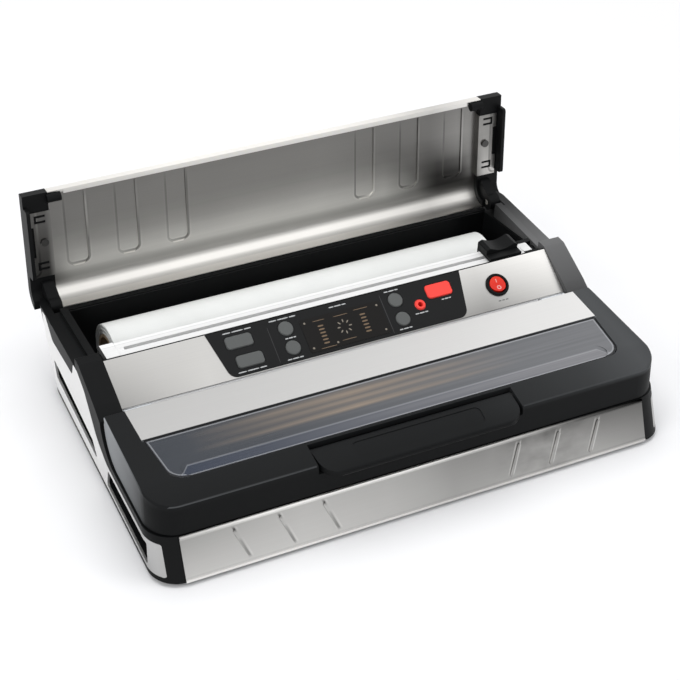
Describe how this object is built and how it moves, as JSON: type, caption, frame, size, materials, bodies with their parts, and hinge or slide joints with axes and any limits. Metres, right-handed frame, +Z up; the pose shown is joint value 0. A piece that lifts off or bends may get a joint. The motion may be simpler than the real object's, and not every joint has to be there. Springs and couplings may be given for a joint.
{
  "type": "vacuum sealer",
  "caption": "Countertop vacuum sealer with a windowed front lid, sloping key panel, open rear cover over a bag-roll trough, and a sliding film cutter.",
  "frame": {"origin": "on the table, in the plane of the feet, below the middle of the whole box with the rear cover open", "axes": "+X to the machine's right as seen from the front, +Y to its back, +Z up"},
  "size_m": [0.3812, 0.2574, 0.1407],
  "materials": {
    "black_plastic": "fine moulded satin black",
    "brushed_steel": "brushed along the width",
    "silver_trim": "pale satin silver",
    "clear_window": "smoked clear acrylic",
    "film": "milky embossed bag film",
    "core_card": "plain wound card",
    "overlay_charcoal": "printed charcoal film",
    "lens_smoke": "dark smoked lens",
    "key_grey": "grey rubbery keycap",
    "red_plastic": "glossy red",
    "soft_rubber": "matt black rubber",
    "silicone": "red-brown silicone",
    "rail_white": "pale anodised extrusion",
    "steel_bright": "bright plated steel",
    "seal_brown": "brown slippery tape and heat-proof board",
    "tray_clear": "dark removable tray",
    "liner_black": "dark inner moulding",
    "motor_can": "plated motor can",
    "pump_plastic": "black pump head and valve",
    "transformer_iron": "stacked core with a taped winding",
    "board_green": "green circuit board"
  },
  "bodies": {
    "main_body": {"accessory_port": "red_plastic", "base_screws": "steel_bright", "base_tub": "black_plastic", "chamber_tub": "black_plastic", "control_board": "board_green", "control_fascia": "brushed_steel", "cord_gland": "soft_rubber", "deck_plate": "black_plastic", "display_lens": "lens_smoke", "drip_tray": "tray_clear", "front_panel": "brushed_steel", "heating_strip": "steel_bright", "hinge_pins": "steel_bright", "lower_gasket": "soft_rubber", "panel_overlay": "overlay_charcoal", "port_hose": "soft_rubber", "pump_head": "pump_plastic", "pump_motor": "motor_can", "rail_bracket": "black_plastic", "rail_pin": "steel_bright", "rear_wall": "black_plastic", "release_valve": "pump_plastic", "roll_trough": "black_plastic", "rubber_feet": "soft_rubber", "seal_carrier": "seal_brown", "seal_tape": "seal_brown", "side_cheek_left": "black_plastic", "side_cheek_right": "black_plastic", "side_trim_left": "silver_trim", "side_trim_right": "silver_trim", "switch_bezel": "black_plastic", "transformer": "transformer_iron", "upper_housing": "black_plastic", "vacuum_hose": "soft_rubber"},
    "lid": {"lid_frame": "black_plastic", "lid_window": "clear_window", "lid_strip": "silver_trim", "lid_liner": "liner_black", "upper_gasket": "soft_rubber", "press_strip": "silicone", "handle_pin": "steel_bright"},
    "lid_handle": {"handle": "black_plastic"},
    "rear_cover": {"cover_sheet": "brushed_steel", "cover_cap_left": "black_plastic", "cover_cap_right": "black_plastic", "cover_screws": "steel_bright"},
    "cutter_bar": {"cutter_rail": "rail_white", "rail_latch": "black_plastic"},
    "cutter_carriage": {"cutter_slider": "black_plastic", "cutter_blade": "steel_bright"},
    "bag_roll": {"film_roll": "film", "roll_core": "core_card"},
    "rocker": {"power_rocker": "red_plastic"},
    "key_seal_body": {"key_seal": "key_grey"},
    "key_vacuum_seal_body": {"key_vacuum_seal": "key_grey"},
    "key_stop_body": {"key_stop": "red_plastic"},
    "key_mode_upper_body": {"key_mode_upper": "key_grey"},
    "key_mode_lower_body": {"key_mode_lower": "key_grey"},
    "key_option_upper_body": {"key_option_upper": "key_grey"},
    "key_option_lower_body": {"key_option_lower": "key_grey"}
  },
  "joints": [
    {"name": "lid_hinge", "type": "hinge", "parent": "main_body", "child": "lid", "pos_m": [0, -0.01675, 0.0506], "axis": [-1, 0, 0], "range_deg": [0, 48]},
    {"name": "handle_hinge", "type": "hinge", "parent": "lid", "child": "lid_handle", "pos_m": [0, -0.09835, 0.0519], "axis": [-1, 0, 0], "range_deg": [0, 35]},
    {"name": "cover_hinge", "type": "hinge", "parent": "main_body", "child": "rear_cover", "pos_m": [0, 0.10095, 0.062], "axis": [-1, 0, 0], "range_deg": [-97, 0]},
    {"name": "cutter_bar_hinge", "type": "hinge", "parent": "main_body", "child": "cutter_bar", "pos_m": [0.163, 0.02855, 0.0679], "axis": [0, 1, 0], "range_deg": [0, 45]},
    {"name": "cutter_slide", "type": "slide", "parent": "cutter_bar", "child": "cutter_carriage", "axis": [1, 0, 0], "range_m": [-0.278, 0]},
    {"name": "roll_spin", "type": "hinge", "parent": "main_body", "child": "bag_roll", "pos_m": [0, 0.06725, 0.0323], "axis": [1, 0, 0], "continuous": true},
    {"name": "power_rock", "type": "hinge", "parent": "main_body", "child": "rocker", "pos_m": [0.1225, 0.00295, 0.06233], "axis": [1, 0, 0], "range_deg": [0, 8]},
    {"name": "key_seal_press", "type": "slide", "parent": "main_body", "child": "key_seal_body", "axis": [0, 0.5007, -0.8656], "range_m": [0, 0.0008], "stiffness_N_per_m": 1500, "springref_m": -0.0004},
    {"name": "key_vacuum_seal_press", "type": "slide", "parent": "main_body", "child": "key_vacuum_seal_body", "axis": [0, 0.5007, -0.8656], "range_m": [0, 0.0008], "stiffness_N_per_m": 1500, "springref_m": -0.0004},
    {"name": "key_stop_press", "type": "slide", "parent": "main_body", "child": "key_stop_body", "axis": [0, 0.5007, -0.8656], "range_m": [0, 0.0008], "stiffness_N_per_m": 1500, "springref_m": -0.0004},
    {"name": "key_mode_upper_press", "type": "slide", "parent": "main_body", "child": "key_mode_upper_body", "axis": [0, 0.5007, -0.8656], "range_m": [0, 0.0008], "stiffness_N_per_m": 1500, "springref_m": -0.0004},
    {"name": "key_mode_lower_press", "type": "slide", "parent": "main_body", "child": "key_mode_lower_body", "axis": [0, 0.5007, -0.8656], "range_m": [0, 0.0008], "stiffness_N_per_m": 1500, "springref_m": -0.0004},
    {"name": "key_option_upper_press", "type": "slide", "parent": "main_body", "child": "key_option_upper_body", "axis": [0, 0.5007, -0.8656], "range_m": [0, 0.0008], "stiffness_N_per_m": 1500, "springref_m": -0.0004},
    {"name": "key_option_lower_press", "type": "slide", "parent": "main_body", "child": "key_option_lower_body", "axis": [0, 0.5007, -0.8656], "range_m": [0, 0.0008], "stiffness_N_per_m": 1500, "springref_m": -0.0004}
  ]
}
